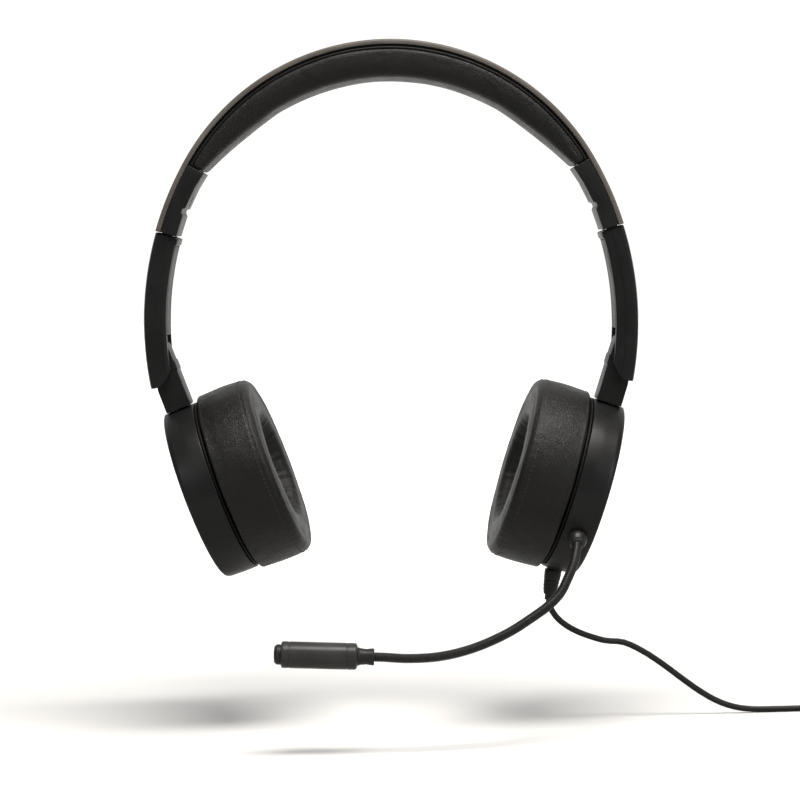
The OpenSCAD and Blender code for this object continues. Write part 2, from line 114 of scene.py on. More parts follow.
def add_light(name, at, target, size, power, colour=(1, 1, 1)):
    data = bpy.data.lights.new(name, "AREA")
    data.shape, data.size, data.size_y = "RECTANGLE", size[0], size[1]
    data.energy, data.color = power, colour
    light = bpy.data.objects.new(name, data)
    bpy.context.collection.objects.link(light)
    light.location = at
    light.rotation_euler = (Vector(target) - Vector(at)).to_track_quat("-Z", "Y").to_euler()


def add_studio():
    world = bpy.data.worlds.new("studio")
    world.use_nodes = True
    tree = world.node_tree
    direction = node(tree, "ShaderNodeTexCoord").outputs["Generated"]
    facing = node(tree, "ShaderNodeSeparateXYZ", {"Vector": direction})
    white_behind = remap(tree, facing.outputs["Y"], 0.0, 0.5, 0.03, 1.06)
    tree.links.new(white_behind, tree.nodes["Background"].inputs["Strength"])
    tree.nodes["Background"].inputs["Color"].default_value = (1.0, 0.993, 0.98, 1)
    bpy.context.scene.world = world
    bpy.context.scene.view_settings.view_transform = "Standard"
    centre = (0.0, 0.0, -0.09)
    add_light("overhead", (0.12, -0.40, 0.90), centre, (0.75, 0.4), 34.0, (1.0, 0.965, 0.92))
    add_light("front_left", (-0.75, -0.95, 0.30), centre, (0.3, 0.5), 3.6)
    add_light("front_right", (0.85, -0.85, 0.30), centre, (0.3, 0.5), 7.0)


def add_floor():
    mesh = bpy.data.meshes.new("floor")
    s, z = 6.0, TABLE_Z * MM
    mesh.from_pydata([(-s, -s, z), (s, -s, z), (s, s, z), (-s, s, z)], [], [(0, 1, 2, 3)])
    floor = bpy.data.objects.new("floor", mesh)
    bpy.context.collection.objects.link(floor)
    mesh.materials.append(plain_floor())


# ---------------------------------------------------------------- materials
def shader(name):
    mat = bpy.data.materials.new(name)
    mat.use_nodes = True
    tree = mat.node_tree
    return mat, tree, tree.nodes["Principled BSDF"]


def node(tree, kind, inputs=(), **props):
    n = tree.nodes.new(kind)
    for key, value in props.items():
        setattr(n, key, value)
    for key, value in dict(inputs).items():
        if isinstance(value, bpy.types.NodeSocket):
            tree.links.new(value, n.inputs[key])
        else:
            n.inputs[key].default_value = value
    return n


def feed(tree, bsdf, colour, gloss=None):
    tree.links.new(colour, bsdf.inputs["Base Color"])
    if gloss is not None:
        tree.links.new(gloss, bsdf.inputs["Roughness"])


def object_coords(tree):
    return node(tree, "ShaderNodeTexCoord").outputs["Object"]


def noise_value(tree, scale, detail=3.0, rough=0.5):
    n = node(tree, "ShaderNodeTexNoise", {"Scale": scale, "Detail": detail, "Roughness": rough,
                                          "Vector": object_coords(tree)})
    return n.outputs["Fac"]


def remap(tree, value, low, high, to_low=0.0, to_high=1.0):
    n = node(tree, "ShaderNodeMapRange", {"Value": value, "From Min": low, "From Max": high,
                                          "To Min": to_low, "To Max": to_high})
    return n.outputs["Result"]


def mix_colour(tree, fac, a, b):
    n = node(tree, "ShaderNodeMix", data_type="RGBA")
    tree.links.new(fac, n.inputs["Factor"])
    for socket, value in ((n.inputs[6], a), (n.inputs[7], b)):
        if isinstance(value, bpy.types.NodeSocket):
            tree.links.new(value, socket)
        else:
            socket.default_value = (*value, 1)
    return n.outputs[2]


def edge_wear(tree, amount=1.0):
    """0 on flat surfaces and up to amount on the sharpest convex edges."""
    point = node(tree, "ShaderNodeNewGeometry").outputs["Pointiness"]
    return remap(tree, point, 0.52, 0.62, 0.0, amount)


def bump(tree, bsdf, height, strength, distance, below=None):
    n = node(tree, "ShaderNodeBump", {"Height": height, "Strength": strength, "Distance": distance})
    if below is not None:
        tree.links.new(below, n.inputs["Normal"])
    tree.links.new(n.outputs["Normal"], bsdf.inputs["Normal"])
    return n.outputs["Normal"]


def moulded(name, colour, rough=0.42, grain=2600.0, depth=0.00004, wear=0.35, tint=1.35):
    """Moulded plastic: spark-eroded grain, slow variation of colour and gloss, and edges rubbed lighter."""
    mat, tree, bsdf = shader(name)
    slow = noise_value(tree, 55.0, 4.0)
    fine = noise_value(tree, grain, 2.0, 0.6)
    body = mix_colour(tree, remap(tree, slow, 0.35, 0.65), colour, [c * tint for c in colour])
    worn = mix_colour(tree, edge_wear(tree, wear), body, [c * 2.0 + 0.002 for c in colour])
    feed(tree, bsdf, worn, remap(tree, noise_value(tree, 120.0, 5.0), 0.3, 0.7, rough - 0.05, rough + 0.07))
    bsdf.inputs["Specular IOR Level"].default_value = 0.12
    bump(tree, bsdf, fine, 0.35, depth)
    return mat


def leatherette(name, colour):
    """Imitation leather: small pebbled cells with painted shade in the grooves between them, and soft
    creases.
    """
    mat, tree, bsdf = shader(name)
    coords = object_coords(tree)
    wobble = node(tree, "ShaderNodeTexNoise", {"Scale": 420.0, "Detail": 2.0, "Vector": coords})
    bent = node(tree, "ShaderNodeMix", data_type="VECTOR", inputs={"Factor": 0.0012})
    tree.links.new(coords, bent.inputs[4])
    tree.links.new(wobble.outputs["Color"], bent.inputs[5])
    cells = node(tree, "ShaderNodeTexVoronoi", {"Scale": 1500.0, "Vector": bent.outputs[1]},
                 feature="DISTANCE_TO_EDGE").outputs["Distance"]
    pebble = remap(tree, cells, 0.0, 0.22)
    crease = noise_value(tree, 170.0, 6.0, 0.62)
    patch = noise_value(tree, 38.0, 3.0)
    body = mix_colour(tree, remap(tree, patch, 0.35, 0.65), colour, [c * 1.5 for c in colour])
    # Painted shade: the colour darkens towards the edges of the pebbles, in the grooves between them.
    groove_shaded = mix_colour(tree, remap(tree, pebble, 0.0, 1.0, 0.55, 0.0), body, [c * 0.45 for c in colour])
    worn = mix_colour(tree, edge_wear(tree, 0.3), groove_shaded, [c * 2.2 + 0.002 for c in colour])
    feed(tree, bsdf, worn, remap(tree, crease, 0.3, 0.7, 0.36, 0.5))
    bsdf.inputs["Specular IOR Level"].default_value = 0.16
    first = bump(tree, bsdf, crease, 0.25, 0.00035)
    bump(tree, bsdf, pebble, 0.55, 0.00009, first)
    return mat


def rubber(name, colour, rough):
    """Soft cable jacket: fine streaks of handling and dust."""
    mat, tree, bsdf = shader(name)
    dust = noise_value(tree, 300.0, 6.0, 0.7)
    body = mix_colour(tree, remap(tree, dust, 0.45, 0.75), colour, [c * 1.8 for c in colour])
    feed(tree, bsdf, body, remap(tree, noise_value(tree, 90.0, 4.0), 0.3, 0.7, rough - 0.06, rough + 0.08))
    bsdf.inputs["Specular IOR Level"].default_value = 0.16
    bump(tree, bsdf, noise_value(tree, 2200.0, 2.0), 0.3, 0.00004)
    return mat


def metal(name, colour, rough=0.3, brushed=0.0):
    """Plain or brushed metal with a few fine scratches."""
    mat, tree, bsdf = shader(name)
    bsdf.inputs["Metallic"].default_value = 1.0
    slow = noise_value(tree, 150.0, 4.0)
    body = mix_colour(tree, slow, [c * 0.85 for c in colour], colour)
    streak = node(tree, "ShaderNodeMapping", {"Vector": object_coords(tree), "Scale": (3500.0, 60.0, 3500.0)})
    lines = node(tree, "ShaderNodeTexNoise",
                 {"Scale": 1.0, "Detail": 3.0, "Vector": streak.outputs["Vector"]})
    feed(tree, bsdf, body, remap(tree, lines.outputs["Fac"], 0.3, 0.7, rough - 0.05, rough + 0.1))
    bump(tree, bsdf, lines.outputs["Fac"], 0.1 + brushed, 0.00002)
    return mat


def cloth(name, colour, pitch=0.0007):
    """Plain-woven acoustic cloth or strap."""
    mat, tree, bsdf = shader(name)
    coords = object_coords(tree)
    waves = []
    for axis in ("X", "Y", "Z"):
        wave = node(tree, "ShaderNodeTexWave",
                    {"Scale": 0.05 / pitch * 3.14, "Distortion": 0.4, "Vector": coords}, bands_direction=axis)
        waves.append(wave.outputs["Fac"])
    weave = node(tree, "ShaderNodeMath", {0: waves[1], 1: waves[2]}, operation="MULTIPLY").outputs[0]
    weave = node(tree, "ShaderNodeMath", {0: weave, 1: waves[0]}, operation="ADD").outputs[0]
    body = mix_colour(tree, remap(tree, weave, 0.2, 1.4), [c * 0.4 for c in colour],
                      [c * 1.8 for c in colour])
    feed(tree, bsdf, body)
    bsdf.inputs["Roughness"].default_value = 0.9
    bsdf.inputs["Specular IOR Level"].default_value = 0.1
    bump(tree, bsdf, weave, 0.6, 0.0001)
    return mat


def plain_floor():
    mat, tree, bsdf = shader("floor")
    body = mix_colour(tree, noise_value(tree, 4.0, 3.0), (0.42, 0.42, 0.416), (0.44, 0.44, 0.436))
    feed(tree, bsdf, body)
    bsdf.inputs["Roughness"].default_value = 0.7
    place_on = node(tree, "ShaderNodeNewGeometry").outputs["Position"]
    behind = node(tree, "ShaderNodeSeparateXYZ", {"Vector": place_on}).outputs["Y"]
    glow = remap(tree, behind, 0.0, 0.8, 0.0, 1.0)
    tree.links.new(glow, bsdf.inputs["Emission Strength"])
    bsdf.inputs["Emission Color"].default_value = (1.0, 0.993, 0.98, 1)
    return mat


# ---------------------------------------------------------------- mesh tools, in millimetres
def build(name, verts, faces, mat, sharp=35.0):
    """A mesh object from points in millimetres, smooth except at edges sharper than the angle."""
    mesh = bpy.data.meshes.new(name)
    mesh.from_pydata([tuple(c * MM for c in v) for v in verts], [], faces)
    obj = bpy.data.objects.new(name, mesh)
    bpy.context.collection.objects.link(obj)
    mesh.materials.append(mat)
    finish_mesh(obj, sharp)
    return obj


def finish_mesh(obj, sharp=35.0):
    bm = bmesh.new()
    bm.from_mesh(obj.data)
    bmesh.ops.remove_doubles(bm, verts=bm.verts, dist=1e-7)
    bmesh.ops.recalc_face_normals(bm, faces=bm.faces)
    for f in bm.faces:
        f.smooth = True
    for e in bm.edges:
        e.smooth = len(e.link_faces) == 2 and e.calc_face_angle(0.0) < math.radians(sharp)
    bm.to_mesh(obj.data)
    bm.free()


def place(obj, matrix):
    """Puts a piece in place by moving its vertices, so its object stays at the origin."""
    obj.data.transform(matrix)
    if matrix.determinant() < 0:
        obj.data.flip_normals()
    return obj


def apply_modifiers(obj):
    graph = bpy.context.evaluated_depsgraph_get()
    mesh = bpy.data.meshes.new_from_object(obj.evaluated_get(graph))
    old = obj.data
    obj.modifiers.clear()
    obj.data = mesh
    mesh.name = old.name
    bpy.data.meshes.remove(old)
    return obj


def bevel(obj, width, segments=3, angle=32.0):
    m = obj.modifiers.new("bevel", "BEVEL")
    m.width, m.segments, m.limit_method = width * MM, segments, "ANGLE"
    m.angle_limit = math.radians(angle)
    m.use_clamp_overlap = True
    m.miter_outer = "MITER_ARC"
    apply_modifiers(obj)
    finish_mesh(obj, 32)
    return obj


def cut(obj, *cutters, operation="DIFFERENCE"):
    """Takes the cutters out of a piece, or adds them to it, and deletes them."""
    for c in cutters:
        m = obj.modifiers.new("cut", "BOOLEAN")
        m.operation, m.object, m.solver = operation, c, "EXACT"
        apply_modifiers(obj)
        bpy.data.objects.remove(c)
    finish_mesh(obj, 32)
    return obj


def join(name, objects):
    """Several pieces as one, with their materials."""
    bm = bmesh.new()
    mats = []
    for o in objects:
        for m in o.data.materials:
            if m not in mats:
                mats.append(m)
        index = [mats.index(m) for m in o.data.materials]
        start = len(bm.faces)
        bm.from_mesh(o.data)
        bm.faces.ensure_lookup_table()
        for f in bm.faces[start:]:
            f.material_index = index[f.material_index]
    mesh = bpy.data.meshes.new(name)
    bm.to_mesh(mesh)
    bm.free()
    for m in mats:
        mesh.materials.append(m)
    for o in objects:
        bpy.data.objects.remove(o)
    obj = bpy.data.objects.new(name, mesh)
    bpy.context.collection.objects.link(obj)
    return obj


def fillet(corners, steps=5):
    """A closed outline from (x, y, radius) corners, each rounded by its radius."""
    out = []
    n = len(corners)
    for i, (x, y, r) in enumerate(corners):
        p = Vector((x, y))
        a, b = Vector(corners[i - 1][:2]) - p, Vector(corners[(i + 1) % n][:2]) - p
        if r <= 0 or a.length < 1e-9 or b.length < 1e-9:
            out.append((x, y))
            continue
        half = a.angle(b) / 2
        reach = min(r / math.tan(half), 0.49 * a.length, 0.49 * b.length)
        r = reach * math.tan(half)
        start, end = p + a.normalized() * reach, p + b.normalized() * reach
        centre = p + (a.normalized() + b.normalized()).normalized() * (r / math.sin(half))
        s, e = start - centre, end - centre
        turn = math.atan2(s.x * e.y - s.y * e.x, s.dot(e))
        for k in range(steps + 1):
            t = turn * k / steps
            c, d = math.cos(t), math.sin(t)
            out.append((centre.x + s.x * c - s.y * d, centre.y + s.x * d + s.y * c))
    return out


def loft(name, sections, mat, sharp=35.0, closed=False):
    """A skin over sections of the same number of points, capped unless it closes on itself."""
    m = len(sections[0])
    verts = [p for s in sections for p in s]
    count = len(sections)
    faces = []
    for i in range(count if closed else count - 1):
        a, b = i * m, ((i + 1) % count) * m
        faces += [(a + j, a + (j + 1) % m, b + (j + 1) % m, b + j) for j in range(m)]
    if not closed:
        faces += [tuple(range(m - 1, -1, -1)), tuple((count - 1) * m + j for j in range(m))]
    return build(name, verts, faces, mat, sharp)


def eased_ends(a0, a1, step, soft):
    """Angles from a0 to a1, and how far each section draws in near the two ends, for softly rounded ends."""
    n = max(2, int(abs(a1 - a0) / step))
    body = [a0 + (a1 - a0) * i / n for i in range(n + 1)]
    head = [(a0 + soft * f, g) for f, g in ((0.0, 1.0), (0.12, 0.55), (0.4, 0.2), (1.0, 0.0))]
    tail = [(a1 - (a - a0), g) for a, g in reversed(head)]
    return head + [(a, 0.0) for a in body if a0 + soft * 1.5 < a < a1 - soft * 1.5] + tail


def inset(outline, amount):
    """The outline drawn in towards its middle by about amount."""
    cx = (min(p[0] for p in outline) + max(p[0] for p in outline)) / 2
    cy = (min(p[1] for p in outline) + max(p[1] for p in outline)) / 2
    hx = max(p[0] for p in outline) - cx
    hy = max(p[1] for p in outline) - cy
    return [(cx + (x - cx) * (1 - amount / hx), cy + (y - cy) * (1 - amount / hy)) for x, y in outline]


def swept(outline, centre, radius, angle):
    """An outline of (height over a radius, y), placed at an angle about a centre."""
    out = []
    for h, y in outline:
        x, z = circle_point(centre, radius + h, angle)
        out.append((x, y, z))
    return out


def arc_strip(name, centre, outline, a0, a1, mat, step=1.5, round_end=0.3, sharp=35.0):
    """An outline of (radius, y) swept about a centre, from one angle to another."""
    mean = sum(p[0] for p in outline) / len(outline)
    soft = math.degrees(round_end / abs(mean))
    sections = [swept(inset(outline, round_end * ease), centre, 0, angle)
                for angle, ease in eased_ends(a0, a1, step, soft)]
    return loft(name, sections, mat, sharp)


def arc_box(name, centre, r0, r1, y0, y1, a0, a1):
    outline = [(r0, y0), (r1, y0), (r1, y1), (r0, y1)]
    return loft(name, [swept(outline, centre, 0, a) for a in np.linspace(a0, a1, 14)], MAT["frame"])


def extrude(name, outline, y0, y1, mat, sharp=35.0):
    """An outline in the plane from front to back, made y1 - y0 deep."""
    sections = [[(x, y, z) for x, z in outline] for y in (y0, y1)]
    return loft(name, sections, mat, sharp)


def lathe(name, profile, mat, segments=128, sharp=35.0, closed=False):
    """A profile of (radius, distance along the axis) turned about +X. Ends on the axis close to a point."""
    rings = []
    for k in range(segments):
        a = 2 * math.pi * k / segments
        rings.append([(x, r * math.sin(a), r * math.cos(a)) for r, x in profile])
    m = len(profile)
    verts = [p for ring in rings for p in ring]
    faces = []
    last = m if closed else m - 1
    for k in range(segments):
        a, b = k * m, ((k + 1) % segments) * m
        for j in range(last):
            i = (j + 1) % m
            faces.append((a + j, a + i, b + i, b + j))
    return build(name, verts, faces, mat, sharp)


def axis_matrix(at, direction, up=(0, 0, 1)):
    """A frame whose +X points along direction."""
    x = Vector(direction).normalized()
    y = Vector(up).cross(x).normalized()
    z = x.cross(y)
    m = Matrix((x, y, z)).transposed().to_4x4()
    m.translation = Vector(at) * MM
    return m


def stem_matrix(side, turned=False):
    """The frame of a hanger: origin at the fold pivot, +X away from the head, +Z up the stem."""
    m = Matrix.Translation((PIVOT[0] * MM, 0, PIVOT[1] * MM))
    m = m @ Matrix.Rotation(math.radians(TILT[side]), 4, "Y")
    if turned:
        m = m @ Matrix.Rotation(math.radians(TURN), 4, "Z")
    return side_matrix(side) @ m


def cup_matrix(side):
    return stem_matrix(side, True) @ Matrix.Translation((0, 0, -DROP * MM))


def side_matrix(side):
    return Matrix.Identity(4) if side == "left" else Matrix.Diagonal((-1, 1, 1, 1))


def smooth_line(points, steps):
    """A smooth line through the route points."""
    p = [Vector(q) for q in points]
    out = []
    for i in range(len(p) - 1):
        a, b, c, d = p[max(i - 1, 0)], p[i], p[i + 1], p[min(i + 2, len(p) - 1)]
        for k in range(steps):
            t = k / steps
            out.append(0.5 * (2 * b + (c - a) * t + (2 * a - 5 * b + 4 * c - d) * t * t
                              + (3 * b - a - 3 * c + d) * t * t * t))
    return out + [p[-1]]


def even_line(points, gap):
    """The same line with points an even gap apart."""
    pts = np.array([tuple(p) for p in points])
    along = np.concatenate([[0], np.cumsum(np.linalg.norm(np.diff(pts, axis=0), axis=1))])
    at = np.linspace(0, along[-1], max(2, int(along[-1] / gap) + 1))
    return [Vector([float(np.interp(s, along, pts[:, k])) for k in range(3)]) for s in at]


def tube(name, line, radius, mat, sides=20, sharp=50.0):
    """A tube along a line. radius is a number, or gives the radius at a distance along it."""
    normal = None
    sections, run = [], 0.0
    for i, p in enumerate(line):
        t = (line[min(i + 1, len(line) - 1)] - line[max(i - 1, 0)]).normalized()
        if normal is None:
            normal = t.cross(Vector((0.3, 1, 0.2))).normalized()
        normal = (normal - normal.dot(t) * t).normalized()
        other = t.cross(normal)
        run += (p - line[i - 1]).length if i else 0.0
        r = radius(run) if callable(radius) else radius
        sections.append([tuple(p + r * (math.cos(a) * normal + math.sin(a) * other))
                         for a in (2 * math.pi * k / sides for k in range(sides))])
    return loft(name, sections, mat, sharp)


def show(obj, body, slot, *nodes):
    """Rides a piece on its body and puts it in the place of CAD nodes. The slot, a finish's name, is not
    used.
    """
    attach(obj, body)
    if nodes:
        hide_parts(*nodes)
    return obj


def show_all(matrix, body, *parts):
    """Places pieces made about one axis. Each part is a piece, its finish and its CAD node."""
    for obj, finish, cad in parts:
        place(obj, matrix)
        show(obj, body, finish, cad)


def paint(mat, *nodes):
    """Gives CAD nodes that stay their material."""
    for name in nodes:
        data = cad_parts[name].data
        data.materials.clear()
        data.materials.append(mat)


# ---------------------------------------------------------------- headband
def make_band_cover():
    outline = fillet([(-COVER_T, -15, 0.25), (-0.35, -15, 1.0), (0, -9, 9), (0, 9, 9), (-0.35, 15, 1.0),
                      (-COVER_T, 15, 0.25)], 4)
    shoulder = [(a, e) for a, e in eased_ends(MEET, SEAM, 1.0, 0.12) if a > MEET + 0.3]
    sections = []
    for a, e in reversed(shoulder):
        sections.append([(-x, y, z) for x, y, z in swept(inset(outline, 0.25 * e), ARM_C, ARM_R, a)])
    sections += [swept(outline, BAND_C, BAND_R, a) for a in np.linspace(-MEET, MEET, 101)]
    sections += [swept(inset(outline, 0.25 * e), ARM_C, ARM_R, a) for a, e in shoulder]
    piece = loft("band_cover", sections, MAT["cover"])
    show(piece, "headband", "cover_plastic", "headband_outer_cover")


def make_band_frame():
    """A channel whose outward edges, the thin lines beside the pad, lie between the cover and the pad."""
    wall = COVER_IN - 0.02
    half = [(CHANNEL, 12.1, 0.2), (wall, 12.1, 0), (wall, 13.6, 0), (FRAME_OUT, 13.6, 0.1),
            (FRAME_OUT, 14.85, 0.3), (FRAME_EDGE, 14.85, 0.3), (FRAME_EDGE, 14, 0.1), (CHANNEL - 1, 14, 0.2)]
    outline = fillet([(r, -y, f) for r, y, f in reversed(half)] + half, 3)
    piece = arc_strip("band_frame", BAND_C, outline, -PAD_END, PAD_END, MAT["frame"], 1.2, 0.1)
    show(piece, "headband", "frame_plastic", "headband_inner_frame")


def pad_inner(angle):
    """Radius of the pad's inner surface: nearly round over the crown, then drawing in to a slim end."""
    a = abs(angle)
    ease = max(0.0, (a - 36.0) / (PAD_END - 36.0))
    return PAD_IN + 1.3 * min(a / 34.0, 1.0) ** 2 + 4.8 * ease ** 1.9


def pad_section(angle, steps=9):
    """The pad's outline across the band: skirts behind the frame's edge, rounded sides, a crowned face."""
    r_in, e, half = pad_inner(angle), FRAME_EDGE - 0.05, 15.0
    corner = min(5.0, (e - r_in) * 0.62)
    side = []
    for k in range(steps + 1):
        a = math.radians(90 * k / steps)
        side.append((r_in + 0.9 + corner - corner * math.sin(a), half - corner + corner * math.cos(a)))
    face = [(r_in + 0.9 * (y / (half - corner)) ** 2, y) for y in (8.2, 5.6, 2.8, 0.0)]
    right = [(e, 13.0), (e, 14.4), (e - 0.5, half - 0.25), (e - 1.6, half)] + side + face
    return right + [(r, -y) for r, y in reversed(right[:-1])]


def make_head_pad():
    sections = [swept(inset(pad_section(angle), 0.9 * ease), BAND_C, 0, angle)
                for angle, ease in eased_ends(-PAD_END, PAD_END, 1.25, 1.1)]
    pad = loft("head_pad", sections, MAT["leather"], 60)
    swell(pad, [v.index for v in pad.data.vertices if skirt_of_pad(v.co)], 0.55, 1.6)
    ruffle(pad, 0.00010, 75.0, 0.00004, 260.0)
    show(pad, "headband", "leatherette", "headband_pad")


def skirt_of_pad(co):
    x, z = co.x / MM, co.z / MM - BAND_Z
    return math.hypot(x, z) > FRAME_EDGE - 1.2 or abs(math.degrees(math.atan2(x, z))) > PAD_END - 0.7


def swell(obj, pinned, cap, pressure):
    """Cloth simulation: the covering swells on its foam, held where pinned, and no point moves beyond cap."""
    start = [v.co.copy() for v in obj.data.vertices]
    group = obj.vertex_groups.new(name="pinned")
    group.add(pinned, 1.0, "REPLACE")
    cloth_mod = obj.modifiers.new("cloth", "CLOTH")
    covering = cloth_mod.settings
    covering.vertex_group_mass = "pinned"
    covering.use_pressure, covering.uniform_pressure_force = True, pressure
    covering.effector_weights.gravity = 0.0
    covering.quality = 5
    covering.mass = 0.15
    covering.tension_stiffness = covering.compression_stiffness = 22.0
    covering.shear_stiffness, covering.bending_stiffness = 12.0, 6.0
    scene = bpy.context.scene
    cloth_mod.point_cache.frame_start, cloth_mod.point_cache.frame_end = 1, 20
    for f in range(1, 21):
        scene.frame_set(f)
    graph = bpy.context.evaluated_depsgraph_get()
    moved = [v.co.copy() for v in obj.evaluated_get(graph).to_mesh().vertices]
    obj.evaluated_get(graph).to_mesh_clear()
    obj.modifiers.clear()
    obj.vertex_groups.clear()
    for v, a, b in zip(obj.data.vertices, start, moved):
        step = b - a
        if step.length > cap * MM:
            step *= cap * MM / step.length
        v.co = a + step
    scene.frame_set(1)


def ruffle(obj, big, big_scale, small, small_scale):
    """Slow and fine unevenness of a padded surface, in metres, along its normals."""
    normals = [v.normal.copy() for v in obj.data.vertices]
    for v, n in zip(obj.data.vertices, normals):
        d = big * noise.noise(v.co * big_scale) + small * noise.noise(v.co * small_scale + Vector((3, 1, 7)))
        v.co += n * d


def make_slider_housing(side):
    """The block that guides an arm's tongue, stepped below its screw as moulded."""
    outer = ARM_R - COVER_T - 0.03
    inner = [(60.35, 111.3), (63.5, 111.8), (67.6, 112.0), (68.0, 112.9), (68.6, 112.9), (69.1, 112.0),
             (73.1, 111.9)]
    outline = [(*circle_point(ARM_C, r, a), 0.3) for a, r in inner]
    outline += [(*circle_point(ARM_C, outer, a), 0) for a in (73.1, 70.5, 68.0, 65.5, 63.0, 60.35)]
    block = extrude("housing_" + side, fillet(outline, 4), -14.7, 14.7, MAT["frame"])
    bevel(block, 0.35, 3, 40)
    lips = [arc_box("lip", ARM_C, 113.2, outer - 0.6, -13.2, 13.2, a, b)
            for a, b in ((59.9, 61.0), (72.6, 73.36))]
    cut(block, *lips, operation="UNION")
    slot_cut = arc_box("slot", ARM_C, ARM_R - 5.3, ARM_R, -8.6, 8.6, 59, 75)
    boss = axis_cylinder("recess", screw_point(-10.5), screw_direction(), 1.9, 3.9)
    cut(block, slot_cut, boss)
    place(block, side_matrix(side))
    show(block, "headband", "frame_plastic", "slider_housing_" + side)


def screw_direction():
    a = math.radians(SCREW_AT)
    return (math.sin(a), 0, math.cos(a))


def screw_point(height):
    """A point on the housing screw's axis, height over the arm's outer arc."""
    x, z = circle_point(ARM_C, ARM_R + height, SCREW_AT)
    return (x, 0, z)


def axis_cylinder(name, start, direction, radius, length, sides=48):
    obj = lathe(name, [(0, 0), (radius, 0), (radius, length), (0, length)], MAT["frame"], sides)
    return place(obj, axis_matrix(start, direction, (0, 1, 0)))


def make_housing_screws():
    heads = []
    for side in SIDES:
        head = lathe("head", [(0, 0.25), (1.1, 0.15), (1.55, 0.35), (1.7, 0.7), (1.7, 1.55), (0, 1.55)],
                     MAT["screw"], 48)
        slots = []
        for k in range(2):
            bar = extrude("bar", [(-1, -0.22), (0.9, -0.22), (0.9, 0.22), (-1, 0.22)], -1.05, 1.05,
                          MAT["screw"])
            slots.append(place(bar, Matrix.Rotation(math.radians(90 * k + 20), 4, "X")))
        cut(head, *slots)
        place(head, axis_matrix(screw_point(-8.2), screw_direction(), (0, 1, 0)))
        heads.append(place(head, side_matrix(side)))
    show(join("housing_screw_heads", heads), "headband", "screw_steel", "housing_screws")


# ---------------------------------------------------------------- arms
def arm_section():
    """Across an arm: crowned outer face, rounded edges and a fine moulded step along the front and back."""
    r1, r0 = ARM_R, ARM_IN
    half = [(r1 - 0.02, 0.0, 0), (r1 - 0.1, 5.0, 8), (r1 - 0.4, 11.5, 5), (r1 - 0.9, 14.0, 0.9),
            (r0 + 3.5, 14.0, 0.12), (r0 + 3.3, 13.78, 0.1), (r0 + 0.1, 13.6, 1.2), (r0, 11.0, 0.6)]
    left = [(r, -y, f) for r, y, f in reversed(half[1:])]
    return fillet(left + half, 4)


def mouth_outline():
    """What is cut off an arm's lower end: everything under the oblique, hollowed mouth."""
    return fillet([(92.5, -110.3, 0), (86.2, -110.2, 0.6), (84.3, -109.7, 1.5), (82.5, -107.9, 2.5),
                   (81.0, -105.4, 2.0), (80.4, -103.0, 0.6), (75.0, -101.5, 0), (75.0, -125.0, 0),
                   (92.5, -125.0, 0)], 5)


def make_arm(side):
    outline = arm_section()
    sections = [swept(inset(outline, 0.35 * ease), ARM_C, 0, angle)
                for angle, ease in eased_ends(ARM_TOP, 102.0, 1.0, 0.18)]
    arm = loft("arm_" + side, sections, MAT["arm"], 30)
    mouth = extrude("mouth", mouth_outline(), -20, 20, MAT["arm"])
    fork = arc_box("fork", ARM_C, ARM_IN - 6, ARM_R - 1.2, -9.8, 9.8, 90.7, 104)
    pocket = arc_box("pocket", ARM_C, ARM_IN - 4, ARM_IN + 1.5, -12.1, 12.1, 74.85, 91.8)
    cut(arm, mouth, fork, pocket)
    bevel(arm, 0.22, 2, 42)
    knuckle = make_knuckle()
    arm = join("arm_" + side, [arm, knuckle])
    finish_mesh(arm, 30)
    place(arm, side_matrix(side))
    show(arm, "arm_" + side, "arm_plastic", "arm_shell_" + side)


def make_knuckle():
    """The raised cap at the arm's inner top edge."""
    corners = []
    for h, a in ((-0.3, 73.45), (-0.3, 74.75), (2.0, 74.75), (2.0, 73.45)):
        x, z = circle_point(ARM_C, ARM_IN + h, a)
        corners.append((x, z, 0.4))
    return bevel(extrude("knuckle", fillet(corners, 4), -13.6, 13.6, MAT["arm"]), 0.3, 3, 40)


def make_arm_cover(side):
    outline = fillet([(ARM_IN + 1.3, -11.95, 0.1), (ARM_IN + 0.45, -11.95, 0.4), (ARM_IN - 0.1, -8, 8),
                      (ARM_IN - 0.1, 8, 8), (ARM_IN + 0.45, 11.95, 0.4), (ARM_IN + 1.3, 11.95, 0.1)], 4)
    plate = arc_strip("arm_cover_plate_" + side, ARM_C, outline, 74.95, 91.7, MAT["arm_cover"], 0.8, 0.2)
    place(plate, side_matrix(side))
    show(plate, "arm_" + side, "arm_cover_plastic", "arm_cover_" + side)


def make_stem(side):
    """The hanger between arm and cup: barrel at the pin, a small step inside, rounded upright edges."""
    low, inner, outer = -DROP + FLAT_Z + 0.3, -4.55, 4.7
    corners = [(-2.6, 2.9, 0.8), (inner + 0.1, 1.0, 1.6), (inner, -5.3, 0.3), (inner - 0.32, -5.9, 0.3),
               (inner - 0.32, -8.9, 0.4), (inner, -9.7, 0.5), (inner - 0.05, low, 0.5), (outer, low, 0.5),
               (outer, -14.2, 2.0), (2.7, -1.2, 1.5), (2.4, 1.2, 1.5), (0.5, 2.8, 1.5)]
    stem = extrude("stem_" + side, fillet(corners, 4), -9.5, 9.5, MAT["arm"])
    bevel(stem, 1.5, 4, 38)
    hole = lathe("hole", [(0, -14), (1.55, -14), (1.55, 14), (0, 14)], MAT["arm"], 48)
    cut(stem, place(hole, Matrix.Rotation(math.radians(90), 4, "Z")))
    finish_mesh(stem, 32)
    place(stem, stem_matrix(side))
    show(stem, "hanger_" + side, "arm_plastic", "stem_" + side)


